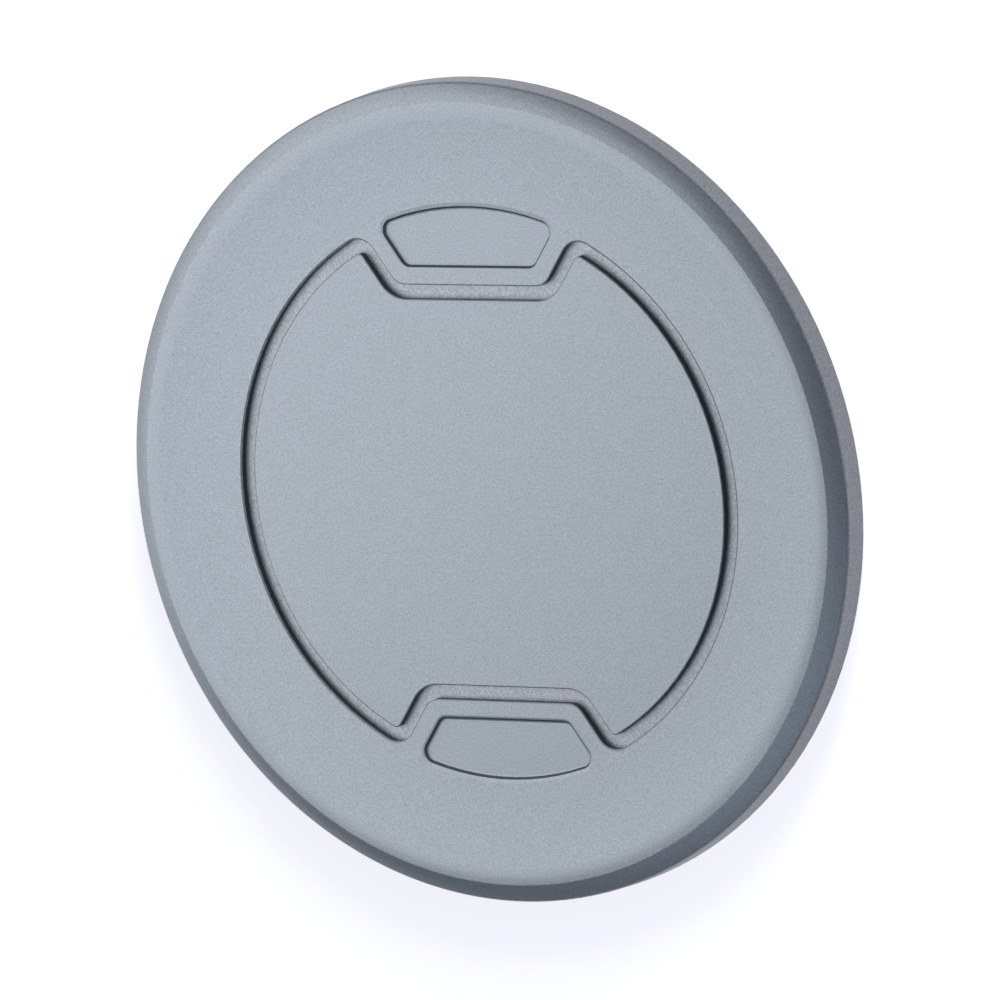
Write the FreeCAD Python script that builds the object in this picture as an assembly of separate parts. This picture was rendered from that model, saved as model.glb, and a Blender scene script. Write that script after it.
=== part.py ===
import FreeCAD, Part
import math
import os

# Push-on cap for a round lens filter, one piece of blasted grey aluminium.
# It lies on the rim of its skirt with the face up. The axis is Z, the rim is at Z = 0,
# and the two finger recesses lie along +Y and -Y. All sizes are in millimetres and degrees.

# Register that slips over the front ring of the filter
filter_ring_diameter = 85.0
slip_clearance = 0.1
skirt_wall = 1.48
lead_in = 0.2

# Rim, from the side wall to the crest
cap_height = 4.0
side_draft = 3.0
rim_edge_break = 0.15
bevel_width = 2.01
bevel_drop = 1.0
bevel_bulge = 0.08
bevel_edge_radius = 0.4

# Dished face: a flat middle that sweeps up to a rounded crest
sweep_start_radius = 28.4
sweep_angle = 10.0
crest_width = 1.75
crest_outer_tilt = 11.5
plate_thickness = 1.5
floor_corner_radius = 0.15

# Groove that outlines the middle panel and the two tabs of the outer ring
groove_radius = 30.62
groove_width = 1.56
groove_depth = 0.8
groove_lip_run = 0.12
groove_lip_drop = 0.07
tab_edge = 22.35
tab_half_width = 9.15
tab_slant = 34.5
panel_peak_radius = 0.7
panel_notch_radius = 3.6

# Finger recess in each tab: a sloping wall between a shallower lip and a shallower foot
recess_border = 1.68
recess_half_width = 8.08
recess_radius = 31.02
recess_corner_radius = 1.5
recess_depth = 0.41
recess_wall_run = 0.24
recess_lip_run = 0.18
recess_lip_drop = 0.05
recess_foot_run = 0.14
recess_foot_rise = 0.06

# Room for cutting tools past the surface that they cut, and for a lip as a share of its own size
overshoot = 1.0
lip_rise = 2.0

# Distance below which two places on the cap are the same
same_place = 1e-6

# Radii and heights that follow from the sizes above
bore_radius = filter_ring_diameter / 2 + slip_clearance
cap_radius = bore_radius + skirt_wall
crease_radius = cap_radius - bevel_width
crest_foot_radius = crease_radius - crest_width

sweep = math.radians(sweep_angle)
outer_tilt = math.radians(crest_outer_tilt)
sweep_radius = (crest_foot_radius - sweep_start_radius) / math.sin(sweep)
crest_radius = crest_width / (math.sin(sweep) + math.sin(outer_tilt))
crest_foot_z = cap_height - crest_radius * (1 - math.cos(sweep))
crease_z = cap_height - crest_radius * (1 - math.cos(outer_tilt))
face_z = crest_foot_z - sweep_radius * (1 - math.cos(sweep))
bevel_edge_z = crease_z - bevel_drop
floor_z = face_z - plate_thickness


def point(x, y, z):
    return FreeCAD.Vector(x, y, z)


def section_point(radius, z):
    """A point of the half section, which lies in the XZ plane."""
    return point(radius, 0, z)


def line(start, end):
    return Part.LineSegment(start, end).toShape()


def arc(start, middle, end):
    return Part.Arc(start, middle, end).toShape()


def side_radius(z):
    """Outer radius of the side wall, which flares slightly towards the rim."""
    return cap_radius + (bevel_edge_z - z) * math.tan(math.radians(side_draft))


def bulged_arc(start, end, bulge):
    """An arc from start to end that stands proud of its chord by bulge, on the outer side."""
    chord = end - start
    outward = point(chord.z, 0, -chord.x).normalize()
    return arc(start, (start + end) * 0.5 + outward * bulge, end)


def crest_point(crest_centre, tilt):
    return crest_centre + point(math.sin(tilt), 0, math.cos(tilt)) * crest_radius


def cap_section():
    """Half section of the cap: skirt, side wall, bevel, crest, sweep, flat face and inner floor."""
    crest_top_radius = crest_foot_radius + crest_radius * math.sin(sweep)
    crest_centre = section_point(crest_top_radius, cap_height - crest_radius)
    sweep_centre = section_point(sweep_start_radius, face_z + sweep_radius)
    half_sweep = point(math.sin(sweep / 2), 0, -math.cos(sweep / 2)) * sweep_radius
    corner = floor_corner_radius * (1 - math.sqrt(0.5))

    mouth = section_point(bore_radius + lead_in, 0)
    rim_outer = section_point(side_radius(0) - rim_edge_break, 0)
    side_foot = section_point(side_radius(rim_edge_break), rim_edge_break)
    bevel_edge = section_point(cap_radius, bevel_edge_z)
    crease = section_point(crease_radius, crease_z)
    crest_foot = section_point(crest_foot_radius, crest_foot_z)
    sweep_start = section_point(sweep_start_radius, face_z)
    face_middle = section_point(0, face_z)
    floor_middle = section_point(0, floor_z)
    floor_end = section_point(bore_radius - floor_corner_radius, floor_z)
    floor_corner = section_point(bore_radius - corner, floor_z - corner)
    bore_end = section_point(bore_radius, floor_z - floor_corner_radius)
    bore_start = section_point(bore_radius, lead_in)

    edges = [
        line(mouth, rim_outer),
        line(rim_outer, side_foot),
        line(side_foot, bevel_edge),
        bulged_arc(bevel_edge, crease, bevel_bulge),
        arc(crease, crest_point(crest_centre, (outer_tilt - sweep) / 2), crest_foot),
        arc(crest_foot, sweep_centre + half_sweep, sweep_start),
        line(sweep_start, face_middle),
        line(face_middle, floor_middle),
        line(floor_middle, floor_end),
        arc(floor_end, floor_corner, bore_end),
        line(bore_end, bore_start),
        line(bore_start, mouth),
    ]
    return Part.Face(Part.Wire(edges))


def disc(radius):
    return Part.Face(Part.Wire(Part.Circle(point(0, 0, 0), point(0, 0, 1), radius).toShape()))


def wedge(edge, half_width):
    """Flat wedge with the slant of the +Y tab, from a straight edge at this distance out to the rim."""
    outer_half_width = half_width + (cap_radius - edge) * math.tan(math.radians(tab_slant))
    corners = [
        point(-half_width, edge, 0),
        point(half_width, edge, 0),
        point(outer_half_width, cap_radius, 0),
        point(-outer_half_width, cap_radius, 0),
    ]
    return Part.Face(Part.makePolygon(corners + corners[:1]))


def turned_half(shape):
    """The same shape turned half round the axis, for the -Y tab."""
    turned = shape.copy()
    turned.rotate(point(0, 0, 0), point(0, 0, 1), 180)
    return turned


def round_convex(face, radius):
    return face.makeOffset2D(-radius).makeOffset2D(radius)


def round_concave(face, radius):
    return face.makeOffset2D(radius).makeOffset2D(-radius)


def panel_face():
    """Outline of the middle panel: a disc with one rounded notch for each tab."""
    corner_angle = math.radians(90 - tab_slant)
    notch_half_width = tab_half_width + groove_width * math.tan(corner_angle / 2)
    notch = wedge(tab_edge - groove_width, notch_half_width)
    sharp = disc(groove_radius - groove_width).cut([notch, turned_half(notch)]).Faces[0]
    return round_convex(round_concave(sharp, panel_notch_radius), panel_peak_radius)


def loft_at(outline, levels):
    """Solid through copies of a flat outline, each with its own growth and height over the face."""
    sections = []
    for growth, height in levels:
        section = outline.makeOffset2D(growth).OuterWire
        section.translate(point(0, 0, face_z + height))
        sections.append(section)
    return Part.makeLoft(sections, True, True)


def groove_cutter():
    """Solid of the groove: a band of constant width round the panel."""
    panel = panel_face()
    band = panel.makeOffset2D(groove_width).cut(panel)
    band.translate(point(0, 0, face_z - groove_depth))
    return band.extrude(point(0, 0, groove_depth + overshoot))


def groove_lip_cutter():
    """Solid that breaks both upper edges of the groove and runs on upwards, to meet the sweep."""
    middle = panel_face().makeOffset2D(groove_width / 2)
    narrow = groove_width / 2
    wide = narrow + (1 + lip_rise) * groove_lip_run
    foot = -groove_lip_drop
    top = lip_rise * groove_lip_drop
    outside = loft_at(middle, [(narrow, foot), (wide, top)])
    inside = loft_at(middle, [(-narrow, foot), (-wide, top)])
    return outside.cut(inside)


def recess_cutter():
    """Solid of the +Y finger recess, with a lip that runs on upwards, to meet the sweep."""
    sharp = wedge(tab_edge + recess_border, recess_half_width).common(disc(recess_radius)).Faces[0]
    outline = round_convex(sharp, recess_corner_radius)
    lip_foot = (-recess_lip_run, -recess_lip_drop)
    wall_foot = (-recess_lip_run - recess_wall_run, recess_foot_rise - recess_depth)
    floor = (wall_foot[0] - recess_foot_run, -recess_depth)
    lip_top = (lip_rise * recess_lip_run, lip_rise * recess_lip_drop)
    return loft_at(outline, [floor, wall_foot, lip_foot, lip_top])


def edges_on_circle(shape, radius, z):
    """Circular edges of the shape with this radius and height."""
    found = []
    for edge in shape.Edges:
        curve = edge.Curve
        if isinstance(curve, Part.Circle) and math.isclose(curve.Radius, radius, abs_tol=same_place):
            if math.isclose(curve.Center.z, z, abs_tol=same_place):
                found.append(edge)
    return found


def filter_cap():
    blank = cap_section().revolve(point(0, 0, 0), point(0, 0, 1), 360)
    blank = blank.makeFillet(bevel_edge_radius, edges_on_circle(blank, cap_radius, bevel_edge_z))
    recess = recess_cutter()
    return blank.cut([groove_cutter(), groove_lip_cutter(), recess, turned_half(recess)])


os.makedirs("parts", exist_ok=True)
cap = filter_cap()
cap.exportStep("parts/filter_cap.step")
print("valid", cap.isValid(), "solids", len(cap.Solids), "volume mm3", round(cap.Volume, 1))
print("face at", round(face_z, 3), "crease at", round(crease_z, 3), "inner floor at", round(floor_z, 3))
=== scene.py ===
import math
import bpy
from mathutils import Matrix, Vector


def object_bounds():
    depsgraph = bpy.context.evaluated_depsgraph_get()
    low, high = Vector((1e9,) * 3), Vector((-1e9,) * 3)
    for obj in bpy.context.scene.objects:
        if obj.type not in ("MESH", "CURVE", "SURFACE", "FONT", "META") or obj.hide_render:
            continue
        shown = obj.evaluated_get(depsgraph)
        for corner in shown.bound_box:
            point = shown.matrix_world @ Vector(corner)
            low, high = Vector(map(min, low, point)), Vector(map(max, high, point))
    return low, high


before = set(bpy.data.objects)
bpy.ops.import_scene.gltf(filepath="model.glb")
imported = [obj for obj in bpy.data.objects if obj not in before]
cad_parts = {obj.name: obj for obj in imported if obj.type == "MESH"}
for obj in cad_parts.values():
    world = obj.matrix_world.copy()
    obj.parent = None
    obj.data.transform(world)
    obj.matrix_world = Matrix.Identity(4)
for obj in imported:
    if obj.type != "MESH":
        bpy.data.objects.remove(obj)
cad_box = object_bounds()

# The finish, studio and camera for the filter cap. The cap itself is the CAD node, and nothing is
# added to its shape. Lengths are in metres and angles in degrees.
mm = 0.001

# Heights and radii of the cap that its finish follows
groove_floor_height = 2.086 * mm
groove_reach = 32.0 * mm
crease_radius = 42.07 * mm
bevel_edge_radius = 44.08 * mm

# Spans over which one zone of the finish and of its painted shade and reflection fades into the next: a
# height for the groove floor, radii for the side, the rim and the face inside it, and for steep walls how
# far the surface faces along the axis
low_span = (groove_floor_height + 0.1 * mm, groove_floor_height + 0.3 * mm)
side_span = (bevel_edge_radius - 0.3 * mm, bevel_edge_radius - 0.1 * mm)
rim_span = (crease_radius - 0.05 * mm, crease_radius + 0.05 * mm)
inside_span = (groove_reach, groove_reach + 1.0 * mm)
steep_span = (0.80, 0.92)

# Finish: cool fine grain on the face, coarser grain in the groove and on the side. The groove's warmer tint
# is painted reflection, the side's darker, warmer colour is painted shade and reflection, and the rim and
# steep walls get painted shade
face_colour = (0.391, 0.426, 0.467)
low_painted_reflection_colour = (0.422, 0.442, 0.475)
side_painted_shade_colour = (0.248, 0.257, 0.274)
rim_painted_shade = 0.89
steep_wall_painted_shade = 0.38
fine_grain_size = 0.19 * mm
coarse_grain_size = 0.24 * mm
fine_grain_contrast = 0.13
coarse_grain_contrast = 0.18
grain_span = (0.25, 0.75)
grain_detail = 1.0
grain_sharpness = 0.6
grain_height = 0.015 * mm
face_roughness = 0.507
rim_roughness = 0.427
steep_roughness = 0.65

# Main softbox, on the left of the photograph
key_azimuth = 163.7
key_elevation = 49.9
key_distance = 0.161
key_size = 0.273
key_radiance = 1.20

# Room: a dim level all round, a glow overhead, a band of light low in the sky in front and light from
# below. Spans are of a direction's height, or of how far it points the given way, both from -1 to 1.
room_level = 0.138
room_colour = (0.90, 0.99, 1.15)
glow_azimuth = 278.8
glow_elevation = 53.5
glow_span = (0.851, 1.0)
glow_level = 0.45
band_azimuth = 30.0
band_level = 0.55
band_foot_span = (0.08, 0.30)
band_top_span = (0.26, 0.77)
band_front_span = (-0.1, 0.35)
under_level = 0.45
under_span = (-0.2, 0.0)

# White floor just under the cap, with a lamp of its own that casts the shadow
floor_lamp_azimuth = 75.0
floor_lamp_elevation = 20.0
floor_lamp_distance = 0.40
floor_lamp_size = 0.12
floor_lamp_radiance = 18.0
floor_size = 6.0
floor_gap = 0.02 * mm
floor_white = (0.90, 0.90, 0.90)
floor_lift = (0.71, 0.70, 0.74)

# Camera at the photograph's viewing angle; the lens and sensor are in millimetres, as Blender has them
camera_azimuth = 17.447
camera_elevation = 56.727
camera_roll = -109.217
camera_distance = 1.2666
camera_lens = 432.0
camera_sensor = 36.0
camera_clip_start = 0.01
aim_point = Vector((2.27, -0.41, 3.91)) * mm

# Sockets of Blender's Mix node by number, because its names repeat: factor and two inputs, then result
colour_mix_inputs = (0, 6, 7)
colour_mix_result = 2
value_mix_inputs = (0, 2, 3)
value_mix_result = 0


def direction(azimuth, elevation):
    """Unit vector from the cap towards this azimuth and elevation."""
    around = math.radians(azimuth)
    above = math.radians(elevation)
    level = math.cos(above)
    return Vector((math.cos(around) * level, math.sin(around) * level, math.sin(above)))


def opaque(colour):
    return (*colour, 1.0)


def new_material(name):
    material = bpy.data.materials.new(name)
    material.use_nodes = True
    material.node_tree.nodes.clear()
    return material, material.node_tree


def add(tree, kind, inputs=None, **settings):
    """A node of this kind with its settings; an input is a value or the socket that feeds it."""
    node = tree.nodes.new(kind)
    for name, value in settings.items():
        setattr(node, name, value)
    for key, value in (inputs or {}).items():
        if isinstance(value, bpy.types.NodeSocket):
            tree.links.new(value, node.inputs[key])
        else:
            node.inputs[key].default_value = value
    return node


def ramp(tree, value, span, first, last):
    """A smooth change from first to last while value goes through the span."""
    inputs = {"Value": value, "From Min": span[0], "From Max": span[1], "To Min": first, "To Max": last}
    node = add(tree, "ShaderNodeMapRange", inputs, interpolation_type="SMOOTHSTEP")
    return node.outputs["Result"]


def math_node(tree, operation, first, second):
    return add(tree, "ShaderNodeMath", {0: first, 1: second}, operation=operation).outputs["Value"]


def dot_product(tree, first, second):
    node = add(tree, "ShaderNodeVectorMath", {0: first, 1: second}, operation="DOT_PRODUCT")
    return node.outputs["Value"]


def z_of(tree, vector):
    return add(tree, "ShaderNodeSeparateXYZ", {"Vector": vector}).outputs["Z"]


def mix_colour(tree, factor, first, second):
    """first where factor is 0, second where it is 1; each is a colour or the socket that gives it."""
    inputs = {}
    for number, value in zip(colour_mix_inputs, (factor, first, second)):
        inputs[number] = value if isinstance(value, bpy.types.NodeSocket) else opaque(value)
    return add(tree, "ShaderNodeMix", inputs, data_type="RGBA").outputs[colour_mix_result]


def mix_value(tree, factor, first, second):
    """first where factor is 0, second where it is 1; each is a number or the socket that gives it."""
    inputs = dict(zip(value_mix_inputs, (factor, first, second)))
    return add(tree, "ShaderNodeMix", inputs, data_type="FLOAT").outputs[value_mix_result]


def grain_noise(tree, position, size):
    inputs = {"Vector": position, "Scale": 1.0 / size, "Detail": grain_detail, "Roughness": grain_sharpness}
    return add(tree, "ShaderNodeTexNoise", inputs).outputs["Fac"]


def grain_shade(tree, grain, contrast):
    """Brightness around 1 that follows the grain."""
    return ramp(tree, grain, grain_span, 1.0 - contrast, 1.0 + contrast)


def zones(tree, position):
    """Four masks from 0 to 1: groove floor, outer side, rim outside the crease, steep walls in the face."""
    parts = add(tree, "ShaderNodeSeparateXYZ", {"Vector": position}).outputs
    flat = add(tree, "ShaderNodeCombineXYZ", {"X": parts["X"], "Y": parts["Y"]}).outputs["Vector"]
    radius = add(tree, "ShaderNodeVectorMath", {0: flat}, operation="LENGTH").outputs["Value"]
    low = ramp(tree, parts["Z"], low_span, 1.0, 0.0)
    side = ramp(tree, radius, side_span, 0.0, 1.0)
    rim = ramp(tree, radius, rim_span, 0.0, 1.0)

    normal_z = z_of(tree, add(tree, "ShaderNodeNewGeometry").outputs["True Normal"])
    along_axis = add(tree, "ShaderNodeMath", {0: normal_z}, operation="ABSOLUTE").outputs["Value"]
    upright = ramp(tree, along_axis, steep_span, 1.0, 0.0)
    inside = ramp(tree, radius, inside_span, 1.0, 0.0)
    steep = math_node(tree, "MULTIPLY", upright, inside)
    return low, side, rim, steep


def blasted_metal():
    """Blasted and anodised aluminium; the warmer groove is painted reflection, and the darker, warmer side,
    darker rim and darker steep walls are painted shade.
    """
    material, tree = new_material("blasted_metal_finish")
    position = add(tree, "ShaderNodeTexCoord").outputs["Object"]
    low, side, rim, steep = zones(tree, position)

    fine_grain = grain_noise(tree, position, fine_grain_size)
    coarse_grain = grain_noise(tree, position, coarse_grain_size)
    coarse = math_node(tree, "MAXIMUM", low, side)
    grain = mix_value(tree, coarse, fine_grain, coarse_grain)
    bump = add(tree, "ShaderNodeBump", {"Height": grain, "Distance": grain_height, "Strength": 1.0})

    fine_shade = grain_shade(tree, grain, fine_grain_contrast)
    coarse_shade = grain_shade(tree, grain, coarse_grain_contrast)
    shade = mix_value(tree, coarse, fine_shade, coarse_shade)
    # Painted shade: the rim outside the crease is darker than the face
    shade = math_node(tree, "MULTIPLY", shade, mix_value(tree, rim, 1.0, rim_painted_shade))
    # Painted shade: steep walls of the groove, the recesses and the lips are darkened
    shade = math_node(tree, "MULTIPLY", shade, mix_value(tree, steep, 1.0, steep_wall_painted_shade))
    # Painted reflection: the groove floor and the underside get a warmer tint
    colour = mix_colour(tree, low, face_colour, low_painted_reflection_colour)
    # Painted shade and reflection: the side and the rolled edge get a darker, warmer colour
    colour = mix_colour(tree, side, colour, side_painted_shade_colour)
    shaded = add(tree, "ShaderNodeVectorMath", {0: colour, "Scale": shade}, operation="SCALE")

    roughness = mix_value(tree, rim, face_roughness, rim_roughness)
    roughness = mix_value(tree, steep, roughness, steep_roughness)

    metal = add(tree, "ShaderNodeBsdfPrincipled", {
        "Base Color": shaded.outputs["Vector"],
        "Metallic": 1.0,
        "Roughness": roughness,
        "Normal": bump.outputs["Normal"],
    })
    add(tree, "ShaderNodeOutputMaterial", {"Surface": metal.outputs["BSDF"]})
    return material


def white_floor():
    """Diffuse white, lifted to full white where it is seen directly or in the metal, and open from below.

    The lift is dark to lamp rays, so it isn't sampled as a lamp: that would dim its mirror image.
    """
    material, tree = new_material("white_floor_finish")
    material.cycles.emission_sampling = "NONE"
    path = add(tree, "ShaderNodeLightPath").outputs
    seen = math_node(tree, "MAXIMUM", path["Is Camera Ray"], path["Is Glossy Ray"])
    seen = math_node(tree, "MAXIMUM", seen, path["Is Transmission Ray"])
    diffuse = add(tree, "ShaderNodeBsdfDiffuse", {"Color": opaque(floor_white)})
    lift = add(tree, "ShaderNodeEmission", {"Color": opaque(floor_lift), "Strength": seen})
    upper = add(tree, "ShaderNodeAddShader", {0: diffuse.outputs["BSDF"], 1: lift.outputs["Emission"]})
    lower = add(tree, "ShaderNodeBsdfTransparent")
    from_below = add(tree, "ShaderNodeNewGeometry").outputs["Backfacing"]
    sides = {0: from_below, 1: upper.outputs["Shader"], 2: lower.outputs["BSDF"]}
    either = add(tree, "ShaderNodeMixShader", sides)
    add(tree, "ShaderNodeOutputMaterial", {"Surface": either.outputs["Shader"]})
    return material


def make_floor():
    half = floor_size / 2
    height = cad_box[0].z - floor_gap
    corners = [(-half, -half, height), (half, -half, height), (half, half, height), (-half, half, height)]
    mesh = bpy.data.meshes.new("floor")
    mesh.from_pydata(corners, [], [(0, 1, 2, 3)])
    mesh.materials.append(white_floor())
    floor = bpy.data.objects.new("floor", mesh)
    bpy.context.scene.collection.objects.link(floor)


def make_softbox(name, place, size, radiance):
    """A square softbox at this place that faces the middle of the cap and glows with this radiance."""
    light = bpy.data.lights.new(name, "AREA")
    light.shape = "SQUARE"
    light.size = size
    light.energy = radiance * math.pi * size ** 2
    softbox = bpy.data.objects.new(name, light)
    softbox.location = place
    softbox.rotation_mode = "QUATERNION"
    softbox.rotation_quaternion = (-place).to_track_quat("-Z", "Y")
    softbox.visible_camera = False
    bpy.context.scene.collection.objects.link(softbox)
    return softbox


def make_lights():
    """The key is for the metal and the lamp is for the floor, so that each gets the photograph's shading."""
    key_place = direction(key_azimuth, key_elevation) * key_distance
    key = make_softbox("key", key_place, key_size, key_radiance)
    key.visible_diffuse = False
    lamp_place = direction(floor_lamp_azimuth, floor_lamp_elevation) * floor_lamp_distance
    lamp = make_softbox("floor_lamp", lamp_place, floor_lamp_size, floor_lamp_radiance)
    lamp.visible_glossy = False


def make_room():
    """A dim room with a soft glow overhead, a paler band low in the sky in front and light from below."""
    world = bpy.data.worlds.new("room")
    world.use_nodes = True
    tree = world.node_tree
    outward = add(tree, "ShaderNodeTexCoord").outputs["Generated"]
    height = z_of(tree, outward)

    to_glow = dot_product(tree, outward, direction(glow_azimuth, glow_elevation))
    level = ramp(tree, to_glow, glow_span, room_level, room_level + glow_level)

    to_front = dot_product(tree, outward, direction(band_azimuth, 0.0))
    band = ramp(tree, height, band_top_span, band_level, 0.0)
    band = math_node(tree, "MULTIPLY", band, ramp(tree, to_front, band_front_span, 0.0, 1.0))
    band = math_node(tree, "MULTIPLY", band, ramp(tree, height, band_foot_span, 0.0, 1.0))
    level = math_node(tree, "ADD", level, band)
    level = math_node(tree, "ADD", level, ramp(tree, height, under_span, under_level, 0.0))

    background = tree.nodes["Background"]
    background.inputs["Color"].default_value = opaque(room_colour)
    tree.links.new(level, background.inputs["Strength"])
    bpy.context.scene.world = world


def make_camera():
    back = direction(camera_azimuth, camera_elevation)
    azimuth = math.radians(camera_azimuth)
    roll = math.radians(camera_roll)
    level_right = Vector((-math.sin(azimuth), math.cos(azimuth), 0.0))
    right = level_right * math.cos(roll) + back.cross(level_right) * math.sin(roll)
    up = back.cross(right)
    place = Matrix((right, up, back)).transposed().to_4x4()
    place.translation = aim_point + back * camera_distance
    data = bpy.data.cameras.new("camera")
    data.sensor_width = camera_sensor
    data.lens = camera_lens
    data.clip_start = camera_clip_start
    camera = bpy.data.objects.new("camera", data)
    camera.matrix_world = place
    bpy.context.scene.collection.objects.link(camera)
    bpy.context.scene.camera = camera


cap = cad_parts["filter_cap"]
cap.material_slots[0].material = blasted_metal()
make_floor()
make_room()
make_lights()
make_camera()
bpy.context.scene.view_settings.view_transform = "Standard"
